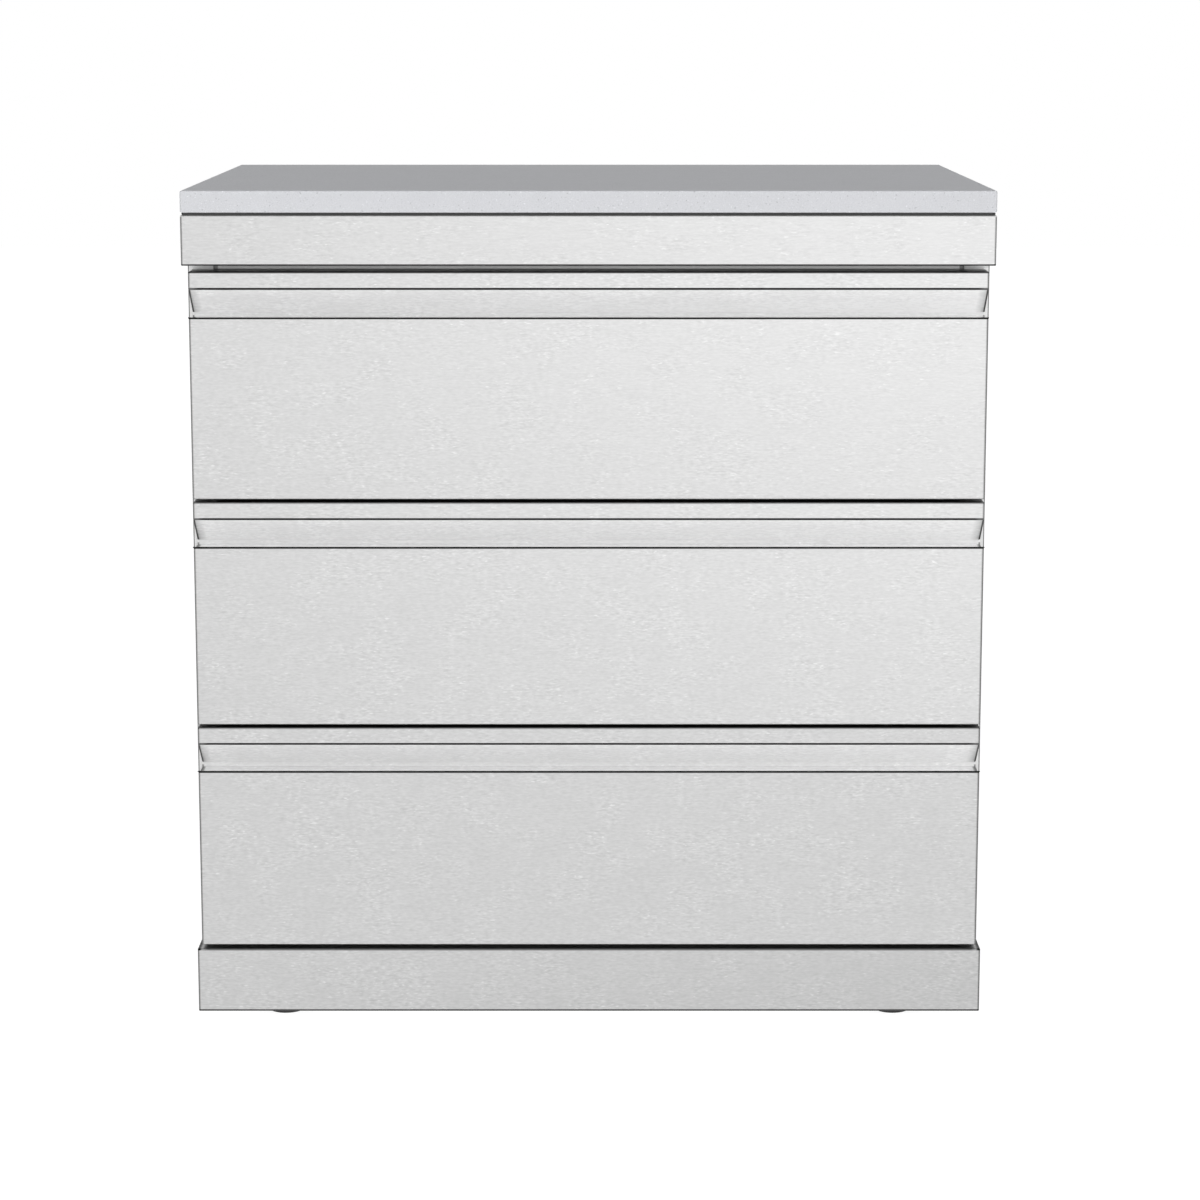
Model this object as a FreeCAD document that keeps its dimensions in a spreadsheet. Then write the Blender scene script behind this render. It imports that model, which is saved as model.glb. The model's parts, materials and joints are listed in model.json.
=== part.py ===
import FreeCAD, Part
import os
import re
import Sketcher

# Outdoor kitchen drawer unit: slab worktop, fascia, three drawers with folded wedge grips, plinth, feet.
# X runs across the unit, the fronts face -Y, Z is up. The origin lies on the ground under the centre.

sizes = {
    "unit_width": (865, "width of slab, fascia, carcass and plinth"),
    "slab_depth": (613, "front to back of the slab"),
    "slab_thick": (23, "thickness of the slab"),
    "slab_round": (1.8, "edge rounding of the slab"),
    "seal_thick": (3, "height of the dark joint under the slab"),
    "seal_inset": (2.5, "joint set back from the slab's edge"),
    "seal_width": (12, "width of the gasket"),
    "fascia_height": (53.2, "height of the band under the slab"),
    "fascia_gap": (7.8, "between the band and the top drawer front"),
    "front_height": (245, "height of one drawer front"),
    "front_gap": (3.5, "between two drawer fronts"),
    "front_inset": (5, "drawer front's end inside the unit's side"),
    "front_setback": (17, "drawer fronts behind the slab's front edge"),
    "front_thick": (39, "thickness of one drawer front, plate included"),
    "plinth_gap": (4.5, "between the lowest front and the plinth"),
    "plinth_height": (71.5, "height of the plinth"),
    "foot_show": (10, "gap from the ground to the plinth"),
    "back_inset": (6.5, "back of the carcass inside the slab's back edge"),
    "steel": (1.2, "sheet thickness"),
    "fold_round": (1.8, "outer radius of a fold"),
    "stile_width": (27.7, "front return of the side panels, and depth of the double wall"),
    "flange_depth": (40, "wide flanges of the plinth and the back"),
    "lip_depth": (16, "narrow stiffening flanges"),
    "rail_under": (12, "top rail reaches this far below the top drawer's edge"),
    "rail_notch": (3.5, "corner notch at each end of the top rail"),
    "grip_strip": (18, "flat strip above the grip"),
    "grip_mouth": (31, "open height of the grip at the front"),
    "grip_floor": (33.1, "floor of the grip below the strip"),
    "grip_run": (36.4, "depth of the grip"),
    "grip_drop": (28.6, "fall of the slope over the grip's depth"),
    "plate_inset": (1.2, "closing plate inside the outline of a front"),
    "bumper_gap": (2, "between a front and the carcass"),
    "bumper_free": (0.1, "bumper clear of a closed front"),
    "bumper_radius": (4, "rubber bumper"),
    "bumper_rise": (25, "bumper centre from the top or bottom of a front"),
    "slide_thick": (12.7, "width of a slide"),
    "slide_height": (45, "height of a slide's outer member"),
    "slide_sheet": (1.2, "wall of the slide members"),
    "slide_step": (5.4, "from the face of one member to the next"),
    "slide_start": (2, "slide behind the carcass front"),
    "slide_rise": (90, "slide axis above the bottom of a front"),
    "middle_offset": (2.2, "web of the middle member off the wall"),
    "flange_reach": (9.6, "outer and middle flanges, from the wall"),
    "inner_reach": (4.6, "inner member's flange tips, from the wall"),
    "ball_radius": (1.9, "bearing ball"),
    "cage_thick": (0.6, "ball retainer strip"),
    "box_length": (500, "drawer box and its slides, front to back"),
    "box_rise": (18, "box bottom above the bottom of a front"),
    "box_height": (190, "height of the drawer box"),
    "box_lip": (8, "inward hem on the box sides"),
    "screw_radius": (2, "screw shank"),
    "screw_free": (0.2, "screw in its hole"),
    "screw_head": (4, "screw head radius"),
    "screw_cap": (2.2, "screw head height"),
    "foot_spread": (93.5, "feet in from the unit's sides"),
    "foot_inset": (45, "front feet behind the plinth's face"),
    "foot_back": (45, "rear feet from the carcass back"),
    "foot_radius": (20, "levelling foot"),
    "foot_rim": (7, "height of the foot's rim"),
    "foot_neck": (11, "radius of the foot's neck"),
    "foot_height": (16, "height of the foot"),
    "foot_round": (1.5, "edge of the foot's sole"),
    "stem_radius": (5, "threaded stem"),
    "stem_free": (0.05, "stem in its nut"),
    "stem_seat": (5, "stem's end above the ground"),
    "stem_length": (65, "threaded stem"),
    "nut_radius": (9, "weld nut"),
    "nut_height": (10, "weld nut"),
    "channel_rise": (40, "foot channel's web above the ground"),
    "channel_width": (50, "foot channel"),
    "channel_sheet": (2.5, "foot channel's wall"),
}
drawer_count = 3
drawers = range(1, drawer_count + 1)
sides = {"left": -1, "right": 1}

doc = FreeCAD.newDocument("drawer_unit")
sheet = doc.addObject("Spreadsheet::Sheet", "Dims")
for row, (word, (value, note)) in enumerate(sizes.items(), start=1):
    sheet.set(f"A{row}", word)
    sheet.set(f"B{row}", str(value))
    sheet.set(f"C{row}", note)
    sheet.setAlias(f"B{row}", word)
doc.recompute()

# Planes and edges that several pieces share, as formulas on the sheet.
half = "(unit_width / 2)"
slab_front = "(-slab_depth / 2)"
front_plane = "(front_setback - slab_depth / 2)"
carcass_front = "(front_setback + front_thick + bumper_gap - slab_depth / 2)"
carcass_back = "(slab_depth / 2 - back_inset)"
plinth_top = "(foot_show + plinth_height)"
fronts_high = f"({drawer_count} * front_height + {drawer_count - 1} * front_gap)"
carcass_height = f"(plinth_gap + {fronts_high} + fascia_gap + fascia_height)"
carcass_top = f"({plinth_top} + {carcass_height})"
stile_edge = f"({half} - stile_width)"
box_half = f"({stile_edge} - slide_thick)"
slide_front = "(front_thick + bumper_gap + slide_start)"
foot_across = f"({half} - foot_spread)"

pieces = []


def with_sheet(formula):
    """The same formula with each named size read from the sheet."""
    return re.sub(r"[a-z_]+", lambda m: "Dims." + m.group() if m.group() in sizes else m.group(), formula)


def bind(thing, prop, formula):
    thing.setExpression(prop, with_sheet(str(formula)))


def place(thing, x="0", y="0", z="0"):
    for axis, formula in (("x", x), ("y", y), ("z", z)):
        bind(thing, f"Placement.Base.{axis}", formula)


def new_body(label, x="0", y="0", z="0"):
    body = doc.addObject("PartDesign::Body", label)
    body.Label = label
    body.AllowCompound = True
    place(body, x, y, z)
    pieces.append(body)
    return body


def new_sketch(body, role, offset="0"):
    """An empty sketch on one of the body's origin planes, moved along the plane's normal."""
    plane = next(f for f in body.Origin.OriginFeatures if f.Role == role)
    sketch = body.newObject("Sketcher::SketchObject", body.Name + "_sketch")
    sketch.AttachmentSupport = [(plane, "")]
    sketch.MapMode = "FlatFace"
    bind(sketch, "AttachmentOffset.Base.z", offset)
    return sketch


def fix_point(sketch, geometry, position, across, up):
    """Hold a point of the sketch at a distance across and up from the sketch's origin."""
    for kind, formula in (("DistanceX", across), ("DistanceY", up)):
        index = sketch.addConstraint(Sketcher.Constraint(kind, -1, 1, geometry, position, 1.0))
        bind(sketch, f"Constraints[{index}]", formula)


def polygon(sketch, corners):
    """A closed outline through the corners, each a pair of formulas."""
    first = sketch.GeometryCount
    count = len(corners)
    for i in range(count):
        start = FreeCAD.Vector(i, i * i, 0)
        end = FreeCAD.Vector((i + 1) % count, ((i + 1) % count) ** 2, 0)
        sketch.addGeometry(Part.LineSegment(start, end), False)
    for i in range(count):
        after = first + (i + 1) % count
        sketch.addConstraint(Sketcher.Constraint("Coincident", first + i, 2, after, 1))
    for i, (across, up) in enumerate(corners):
        fix_point(sketch, first + i, 1, across, up)


def rectangle(sketch, left, right, low, high):
    polygon(sketch, [(left, low), (right, low), (right, high), (left, high)])


def circle(sketch, across, up, radius):
    centre = FreeCAD.Vector(0, 0, 0)
    index = sketch.addGeometry(Part.Circle(centre, FreeCAD.Vector(0, 0, 1), 1), False)
    fix_point(sketch, index, 3, across, up)
    held = sketch.addConstraint(Sketcher.Constraint("Radius", index, 1.0))
    bind(sketch, f"Constraints[{held}]", radius)


def pad(body, sketch, length, way="along"):
    """Thicken a sketch along its normal, against it, or to both sides."""
    feature = body.newObject("PartDesign::Pad", body.Name + "_pad")
    feature.Profile = sketch
    bind(feature, "Length", length)
    feature.Reversed = way == "against"
    feature.SideType = "Symmetric" if way == "both" else "One side"
    doc.recompute()
    return feature


def pocket(body, sketch, length, way="along"):
    """Cut a sketch out of the body along its normal, against it, or to both sides."""
    before = body.Shape.Volume
    feature = body.newObject("PartDesign::Pocket", body.Name + "_pocket")
    feature.Profile = sketch
    bind(feature, "Length", length)
    feature.Reversed = way == "along"
    feature.SideType = "Symmetric" if way == "both" else "One side"
    doc.recompute()
    if body.Shape.Volume >= before:
        raise ValueError(f"{body.Label}: a pocket cut nothing")
    return feature


def round_edges(body, radius, wanted):
    """Round every edge of the body for which wanted(edge box, body box) is true."""
    tip = body.Tip
    whole = tip.Shape.BoundBox
    names = [f"Edge{i}" for i, edge in enumerate(tip.Shape.Edges, start=1) if wanted(edge.BoundBox, whole)]
    feature = body.newObject("PartDesign::Fillet", body.Name + "_fillet")
    feature.Base = (tip, names)
    bind(feature, "Radius", radius)
    doc.recompute()


def on_front(edge, whole):
    return edge.YMax < whole.YMin + 0.01


def in_grip(edge, whole):
    """The two folds along the back of a grip, at the grip's depth."""
    level = abs(edge.YMin - sheet.grip_run) < 0.01 and abs(edge.YMax - sheet.grip_run) < 0.01
    return level and edge.XLength > whole.XLength / 2


def countertop_slab():
    body = new_body("countertop_slab", z=f"{carcass_top} + seal_thick")
    sketch = new_sketch(body, "XY_Plane")
    rectangle(sketch, f"-{half}", half, slab_front, "slab_depth / 2")
    pad(body, sketch, "slab_thick")
    round_edges(body, "slab_round", lambda edge, whole: True)


def slab_seal():
    body = new_body("slab_seal", z=carcass_top)
    sketch = new_sketch(body, "XY_Plane")
    outer = f"({half} - seal_inset)"
    front = f"({slab_front} + seal_inset)"
    back = f"({carcass_back} - seal_inset)"
    rectangle(sketch, f"-{outer}", outer, front, back)
    inner = f"({outer} - seal_width)"
    rectangle(sketch, f"-{inner}", inner, f"{front} + seal_width", f"{back} - seal_width")
    pad(body, sketch, "seal_thick")


def folded_tray(label, front, low, depth, height):
    """A band as wide as the unit, folded from one sheet and open at the back."""
    body = new_body(label, y=front, z=low)
    sketch = new_sketch(body, "XY_Plane")
    rectangle(sketch, f"-{half}", half, "0", depth)
    pad(body, sketch, height)
    hollow = new_sketch(body, "XY_Plane", "steel")
    rectangle(hollow, f"steel - {half}", f"{half} - steel", "steel", f"{depth} + steel")
    pocket(body, hollow, f"{height} - 2 * steel", "along")
    round_edges(body, "fold_round", on_front)
    return body


def fascia_front():
    depth = "(front_setback + front_thick + bumper_gap)"
    folded_tray("fascia_front", slab_front, f"{carcass_top} - fascia_height", depth, "fascia_height")


def plinth_front():
    """The tray's lower flange is cut back to a lip, which leaves room for the front feet."""
    depth = "(front_thick + bumper_gap)"
    body = folded_tray("plinth_front", front_plane, "foot_show", depth, "plinth_height")
    opening = new_sketch(body, "XY_Plane")
    rectangle(opening, f"steel - {half}", f"{half} - steel", "lip_depth", f"{depth} + steel")
    pocket(body, opening, "2 * steel", "both")


def top_rail_front():
    """Cross rail, C-shaped and open to the back, with a notch at each end of its face."""
    height = "(fascia_height + fascia_gap + rail_under)"
    body = new_body("top_rail_front", y=carcass_front, z=f"{carcass_top} - {height}")
    sketch = new_sketch(body, "YZ_Plane")
    polygon(sketch, [("0", "0"), ("lip_depth", "0"), ("lip_depth", "steel"), ("steel", "steel"),
                     ("steel", f"{height} - steel"), ("flange_depth", f"{height} - steel"),
                     ("flange_depth", height), ("0", height)])
    pad(body, sketch, f"2 * {stile_edge}", "both")
    notches = new_sketch(body, "XZ_Plane")
    for side in sides.values():
        rectangle(notches, f"{side} * ({stile_edge} - rail_notch)", f"{side} * {stile_edge}",
                  "steel", f"{height} - steel")
    pocket(body, notches, "2 * steel", "both")


def side_panel(name, side):
    """Outer sheet of a double-walled side, with stiles folded in at front and back."""
    body = new_body(f"side_panel_{name}", z=plinth_top)
    web = f"{side} * ({half} - steel)"
    skin = f"{side} * {half}"
    edge = f"{side} * {stile_edge}"
    back = f"{carcass_back} - steel"
    sketch = new_sketch(body, "XY_Plane")
    polygon(sketch, [(edge, carcass_front), (skin, carcass_front), (skin, back), (edge, back),
                     (edge, f"{back} - steel"), (web, f"{back} - steel"),
                     (web, f"{carcass_front} + steel"), (edge, f"{carcass_front} + steel")])
    pad(body, sketch, carcass_height)
    flange = new_sketch(body, "XY_Plane", carcass_height)
    rectangle(flange, edge, web, f"{carcass_front} + steel", f"{back} - steel")
    pad(body, flange, "steel", "against")

    def is_fold(edge_box, whole):
        upright = edge_box.ZLength > whole.ZLength / 2
        outside = edge_box.XMin > whole.XMax - 0.01 if side > 0 else edge_box.XMax < whole.XMin + 0.01
        return upright and outside

    round_edges(body, "fold_round", is_fold)
    drill_back(body, side)


def side_liner(name, side):
    """Inner skin of a double-walled side: a C with its flanges towards the outer sheet."""
    body = new_body(f"side_liner_{name}", z=plinth_top)
    face = f"{side} * {stile_edge}"
    web = f"{side} * ({stile_edge} + steel)"
    tip = f"{side} * ({stile_edge} + lip_depth)"
    front = f"({carcass_front} + steel)"
    back = f"({carcass_back} - 2 * steel)"
    sketch = new_sketch(body, "XY_Plane")
    polygon(sketch, [(face, front), (tip, front), (tip, f"{front} + steel"), (web, f"{front} + steel"),
                     (web, f"{back} - steel"), (tip, f"{back} - steel"), (tip, back), (face, back)])
    pad(body, sketch, f"{carcass_height} - steel")
    drill_back(body, side)


def back_screws(sketch, radius, wanted_sides):
    """Circles at the screws that hold the back panel to the double walls."""
    for side in wanted_sides:
        for step in (1, 3, 5, 7, 9):
            across = f"{side} * ({stile_edge} + lip_depth / 2)"
            circle(sketch, across, f"{carcass_height} * {step} / 10", radius)


def drill_back(body, *wanted_sides):
    """Holes for the back panel's screws through the sheets that lie at the carcass back."""
    holes = new_sketch(body, "XZ_Plane", f"-{carcass_back}")
    back_screws(holes, "screw_radius + screw_free", wanted_sides)
    pocket(body, holes, "10 * steel", "both")


def back_panel():
    body = new_body("back_panel", z=plinth_top)
    sketch = new_sketch(body, "XZ_Plane", f"-{carcass_back}")
    rectangle(sketch, f"-{half}", half, "0", carcass_height)
    pad(body, sketch, "steel", "along")
    flange = new_sketch(body, "XY_Plane", carcass_height)
    rectangle(flange, f"-{stile_edge}", stile_edge, f"{carcass_back} - flange_depth",
              f"{carcass_back} - steel")
    pad(body, flange, "steel", "against")
    drill_back(body, *sides.values())


def carcass_screws():
    """Pan-head screws through the back panel, the side panels' returns and the liners."""
    body = new_body("carcass_screws", z=plinth_top)
    heads = new_sketch(body, "XZ_Plane", f"-{carcass_back}")
    shanks = new_sketch(body, "XZ_Plane", f"-{carcass_back}")
    back_screws(heads, "screw_head", sides.values())
    back_screws(shanks, "screw_radius", sides.values())
    pad(body, heads, "screw_cap", "against")
    pad(body, shanks, "5 * steel", "along")


def bottom_panel():
    """Floor of the carcass between the liners, with an upturned edge at front and back."""
    body = new_body("bottom_panel", z=plinth_top)
    back = f"{carcass_back} - steel"
    sketch = new_sketch(body, "YZ_Plane")
    polygon(sketch, [(carcass_front, "0"), (back, "0"), (back, "lip_depth"),
                     (f"{back} - steel", "lip_depth"), (f"{back} - steel", "steel"),
                     (f"{carcass_front} + steel", "steel"), (f"{carcass_front} + steel", "lip_depth"),
                     (carcass_front, "lip_depth")])
    pad(body, sketch, f"2 * {stile_edge}", "both")


def plinth_side(name, side):
    body = new_body(f"plinth_{name}", y=carcass_front, z="foot_show")
    skin = f"{side} * {half}"
    web = f"{side} * ({half} - steel)"
    wide = f"{side} * ({half} - flange_depth)"
    narrow = f"{side} * ({half} - lip_depth)"
    sketch = new_sketch(body, "XZ_Plane")
    polygon(sketch, [(skin, "0"), (skin, "plinth_height"), (wide, "plinth_height"),
                     (wide, "plinth_height - steel"), (web, "plinth_height - steel"), (web, "steel"),
                     (narrow, "steel"), (narrow, "0")])
    pad(body, sketch, f"{carcass_back} - {carcass_front}", "against")


def plinth_back():
    body = new_body("plinth_back", y=carcass_back, z="foot_show")
    sketch = new_sketch(body, "XZ_Plane")
    rectangle(sketch, f"steel - {half}", f"{half} - steel", "steel", "plinth_height - steel")
    pad(body, sketch, "steel", "along")
    flange = new_sketch(body, "XY_Plane", "plinth_height")
    rectangle(flange, f"flange_depth - {half}", f"{half} - flange_depth", "-flange_depth", "0")
    pad(body, flange, "steel", "against")


def foot_places():
    """Name, side and distance behind the front plane of each levelling foot."""
    depth = f"({carcass_back} - {front_plane})"
    for name, side in sides.items():
        yield f"front_{name}", side, "foot_inset"
        yield f"back_{name}", side, f"{depth} - foot_back"


def foot_rail(name, side):
    """Channel from front to back of the plinth, with a weld nut under its web for each foot."""
    body = new_body(f"foot_rail_{name}", y=front_plane, z="channel_rise")
    middle = f"{side} * {foot_across}"
    width = "channel_width / 2"
    rise = f"({plinth_top} - steel - channel_rise)"
    length = f"({carcass_back} - {front_plane} - 2 * steel)"
    sketch = new_sketch(body, "XZ_Plane", "-steel")
    polygon(sketch, [(f"{middle} - {width}", "0"), (f"{middle} + {width}", "0"),
                     (f"{middle} + {width}", rise), (f"{middle} + {width} - channel_sheet", rise),
                     (f"{middle} + {width} - channel_sheet", "channel_sheet"),
                     (f"{middle} - {width} + channel_sheet", "channel_sheet"),
                     (f"{middle} - {width} + channel_sheet", rise), (f"{middle} - {width}", rise)])
    pad(body, sketch, length, "against")
    nuts = new_sketch(body, "XY_Plane")
    holes = new_sketch(body, "XY_Plane", "channel_sheet")
    for label, its_side, depth in foot_places():
        if its_side == side:
            circle(nuts, middle, depth, "nut_radius")
            circle(holes, middle, depth, "stem_radius + stem_free")
    pad(body, nuts, "nut_height", "against")
    pocket(body, holes, "2 * (nut_height + channel_sheet)", "both")


def foot_pad(label, side, depth):
    """Moulded foot: round sole, tapered neck and a socket for the stem."""
    body = new_body(f"foot_pad_{label}", f"{side} * {foot_across}", f"{front_plane} + {depth}")
    socket = "stem_radius + stem_free"
    sketch = new_sketch(body, "XZ_Plane")
    polygon(sketch, [("0", "0"), ("foot_radius - foot_round", "0"), ("foot_radius", "foot_round"),
                     ("foot_radius", "foot_rim"), ("foot_neck", "foot_height - 3 * foot_round"),
                     ("foot_neck", "foot_height"), (socket, "foot_height"), (socket, "stem_seat"),
                     ("0", "stem_seat")])
    turned = body.newObject("PartDesign::Revolution", body.Name + "_turned")
    turned.Profile = sketch
    turned.ReferenceAxis = (sketch, ["V_Axis"])
    turned.Angle = 360
    doc.recompute()


def foot_stem(label, side, depth):
    stem = doc.addObject("Part::Cylinder", f"foot_stem_{label}")
    stem.Label = f"foot_stem_{label}"
    bind(stem, "Radius", "stem_radius")
    bind(stem, "Height", "stem_length")
    place(stem, f"{side} * {foot_across}", f"{front_plane} + {depth}", "stem_seat")
    pieces.append(stem)


def drawer_bottom(number):
    """Height of the bottom edge of a front, counted from the top drawer."""
    below = drawer_count - number
    return f"({plinth_top} + plinth_gap + {below} * (front_height + front_gap))"


def drawer_bumpers():
    """Rubber buttons on the stiles, two at each end of every front."""
    body = new_body("drawer_bumpers", y=carcass_front)
    sketch = new_sketch(body, "XZ_Plane")
    for number in drawers:
        low = f"{drawer_bottom(number)} + bumper_rise"
        high = f"{drawer_bottom(number)} + front_height - bumper_rise"
        for side in sides.values():
            for up in (low, high):
                circle(sketch, f"{side} * ({half} - stile_width / 2)", up, "bumper_radius")
    pad(body, sketch, "bumper_gap - bumper_free", "along")


def drawer_front(number):
    """Folded skin of a front: strip, slope, floor and hemmed lip of the grip, and the lower panel."""
    body = new_body(f"drawer_front_{number}", y=front_plane, z=drawer_bottom(number))
    depth = "(front_thick - steel)"
    strip_end = "(front_height - grip_strip)"
    floor = f"({strip_end} - grip_floor)"
    slope_end = f"({strip_end} - grip_drop)"
    lip = f"({strip_end} - grip_mouth)"
    sketch = new_sketch(body, "YZ_Plane")
    polygon(sketch, [(depth, "front_height"), ("0", "front_height"), ("0", strip_end),
                     ("grip_run", slope_end), ("grip_run", floor), ("2 * steel", floor),
                     ("2 * steel", lip), ("0", lip), ("0", "0"), (depth, "0")])
    pad(body, sketch, "unit_width - 2 * front_inset", "both")
    fall = "(grip_drop / grip_run)"
    slope_back = f"({strip_end} + steel * sqrt(1 + {fall}^2))"
    behind = "(grip_run + steel)"
    hollow = new_sketch(body, "YZ_Plane")
    polygon(hollow, [("front_thick", "front_height - steel"), ("steel", "front_height - steel"),
                     ("steel", f"{slope_back} - steel * {fall}"),
                     (behind, f"{slope_back} - {behind} * {fall}"), (behind, f"{floor} - steel"),
                     ("steel", f"{floor} - steel"), ("steel", "steel"), ("front_thick", "steel")])
    pocket(body, hollow, "unit_width - 2 * front_inset - 2 * steel", "both")
    round_edges(body, "fold_round", on_front)
    round_edges(body, "fold_round", in_grip)


def front_screws(sketch, radius, wanted_sides):
    """Circles at the screws that hold a front to the flanges of its box."""
    for side in wanted_sides:
        for step in (1, 4, 7):
            across = f"{side} * ({box_half} - lip_depth / 2)"
            circle(sketch, across, f"box_rise + box_height * {step} / 8", radius)


def drill_front(body, *wanted_sides):
    """Screw holes through the closing plate and the front flanges of the box."""
    holes = new_sketch(body, "XZ_Plane", "-front_thick")
    front_screws(holes, "screw_radius + screw_free", wanted_sides)
    pocket(body, holes, "4 * steel", "both")


def drawer_plate(number):
    body = new_body(f"drawer_plate_{number}", y=front_plane, z=drawer_bottom(number))
    sketch = new_sketch(body, "XZ_Plane", "-front_thick")
    end = f"({half} - front_inset - plate_inset)"
    rectangle(sketch, f"-{end}", end, "plate_inset", "front_height - plate_inset")
    pad(body, sketch, "steel", "along")
    drill_front(body, *sides.values())


def drawer_side(number, name, side):
    """Side of a drawer box: C-shaped, with a front flange that takes the screws of the front."""
    body = new_body(f"drawer_side_{name}_{number}", y=front_plane, z=drawer_bottom(number))
    skin = f"{side} * {box_half}"
    web = f"{side} * ({box_half} - steel)"
    hem = f"{side} * ({box_half} - box_lip)"
    ledge = f"{side} * ({box_half} - lip_depth)"
    low = "box_rise"
    high = "(box_rise + box_height)"
    sketch = new_sketch(body, "XZ_Plane", "-front_thick")
    polygon(sketch, [(skin, low), (skin, high), (hem, high), (hem, f"{high} - steel"),
                     (web, f"{high} - steel"), (web, f"{low} + steel"), (ledge, f"{low} + steel"),
                     (ledge, low)])
    pad(body, sketch, "box_length", "against")
    flange = new_sketch(body, "XZ_Plane", "-front_thick")
    rectangle(flange, web, ledge, f"{low} + 3 * steel", f"{high} - 3 * steel")
    pad(body, flange, "steel", "against")
    drill_front(body, side)


def drawer_base(number):
    body = new_body(f"drawer_base_{number}", y=f"{front_plane} + front_thick",
                    z=f"{drawer_bottom(number)} + box_rise + steel")
    sketch = new_sketch(body, "XY_Plane")
    end = f"({box_half} - steel)"
    rectangle(sketch, f"-{end}", end, "0", "box_length - steel")
    pad(body, sketch, "steel")


def drawer_back(number):
    body = new_body(f"drawer_back_{number}", y=f"{front_plane} + front_thick + box_length",
                    z=f"{drawer_bottom(number)} + box_rise + steel")
    sketch = new_sketch(body, "XZ_Plane")
    end = f"({box_half} - steel)"
    rectangle(sketch, f"-{end}", end, "0", "box_height - 2 * steel")
    pad(body, sketch, "steel", "along")


def drawer_screws(number):
    """Pan-head screws from inside the box through its flanges and the closing plate."""
    body = new_body(f"drawer_screws_{number}", y=front_plane, z=drawer_bottom(number))
    heads = new_sketch(body, "XZ_Plane", "-(front_thick + steel)")
    shanks = new_sketch(body, "XZ_Plane", "-(front_thick + steel)")
    front_screws(heads, "screw_head", sides.values())
    front_screws(shanks, "screw_radius", sides.values())
    pad(body, heads, "screw_cap", "against")
    pad(body, shanks, "3 * steel", "along")


def from_wall(side, distance):
    """A place between the liner and the drawer box, measured from the liner."""
    return f"{side} * ({stile_edge} - ({distance}))"


def channel_pair(label, number, web, web_end, reach, height, length):
    """Left and right slide member: a C from web to reach, as long as given."""
    body = new_body(label, y=f"{front_plane} + {slide_front}", z=f"{drawer_bottom(number)} + slide_rise")
    rise = f"({height} / 2)"
    sketch = new_sketch(body, "XZ_Plane")
    for side in sides.values():
        near = from_wall(side, web)
        far = from_wall(side, web_end)
        tip = from_wall(side, reach)
        polygon(sketch, [(near, f"-{rise}"), (tip, f"-{rise}"), (tip, f"slide_sheet - {rise}"),
                         (far, f"slide_sheet - {rise}"), (far, f"{rise} - slide_sheet"),
                         (tip, f"{rise} - slide_sheet"), (tip, rise), (near, rise)])
    pad(body, sketch, length, "against")


def slide_outer(number):
    channel_pair(f"slide_outer_{number}", number, "0", "slide_sheet", "flange_reach",
                 "slide_height", "box_length")


def slide_middle(number):
    channel_pair(f"slide_middle_{number}", number, "middle_offset", "middle_offset + slide_sheet",
                 "flange_reach", "(slide_height - 2 * slide_step)", "box_length")


def slide_inner(number):
    """The member on the drawer box ends level with the back of the box."""
    channel_pair(f"slide_inner_{number}", number, "slide_thick", "slide_thick - slide_sheet",
                 "inner_reach", "(slide_height - 4 * slide_step)",
                 f"front_thick + box_length - {slide_front}")


def ball_row(prefix, side, out, up, start, length):
    """One retainer strip with its balls, fused to one piece."""
    strip = doc.addObject("Part::Box", prefix + "_strip")
    bind(strip, "Length", "ball_radius")
    bind(strip, "Width", length)
    bind(strip, "Height", "cage_thick")
    place(strip, f"{from_wall(side, out)} - ball_radius / 2", start, f"{up} - cage_thick / 2")
    parts = [strip]
    for step in (1, 3, 5, 7):
        ball = doc.addObject("Part::Sphere", prefix + "_ball")
        bind(ball, "Radius", "ball_radius")
        place(ball, from_wall(side, out), f"{start} + {length} * {step} / 8", up)
        parts.append(ball)
    row = doc.addObject("Part::MultiFuse", prefix)
    row.Shapes = parts
    return row


def slide_bearings(number):
    """Ball rows above and below: outer pair in the rear half, inner pair in the front half."""
    length = "(box_length / 2 - 2 * slide_start)"
    outer_up = "(slide_height / 2 - slide_step / 2 - slide_sheet / 2)"
    rows = []
    for side in sides.values():
        for sign in (-1, 1):
            start = f"({slide_front} + box_length / 2 + slide_start)"
            out = "middle_offset + slide_sheet + ball_radius"
            up = f"{sign} * {outer_up}"
            rows.append(ball_row(f"row_{number}_{len(rows)}", side, out, up, start, length))
            start = f"({slide_front} + slide_start)"
            out = "(inner_reach + flange_reach) / 2"
            up = f"{sign} * ({outer_up} - slide_step)"
            rows.append(ball_row(f"row_{number}_{len(rows)}", side, out, up, start, length))
    group = doc.addObject("Part::Compound", f"slide_bearings_{number}")
    group.Label = f"slide_bearings_{number}"
    group.Links = rows
    place(group, y=front_plane, z=f"{drawer_bottom(number)} + slide_rise")
    pieces.append(group)


def drawer(number):
    drawer_front(number)
    drawer_plate(number)
    for name, side in sides.items():
        drawer_side(number, name, side)
    drawer_base(number)
    drawer_back(number)
    drawer_screws(number)
    slide_outer(number)
    slide_middle(number)
    slide_bearings(number)
    slide_inner(number)


def cabinet():
    countertop_slab()
    slab_seal()
    fascia_front()
    top_rail_front()
    for name, side in sides.items():
        side_panel(name, side)
        side_liner(name, side)
        plinth_side(name, side)
        foot_rail(name, side)
    back_panel()
    bottom_panel()
    plinth_front()
    plinth_back()
    carcass_screws()
    drawer_bumpers()


cabinet()
for number in drawers:
    drawer(number)
for label, side, depth in foot_places():
    foot_pad(label, side, depth)
    foot_stem(label, side, depth)
doc.recompute()

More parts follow.
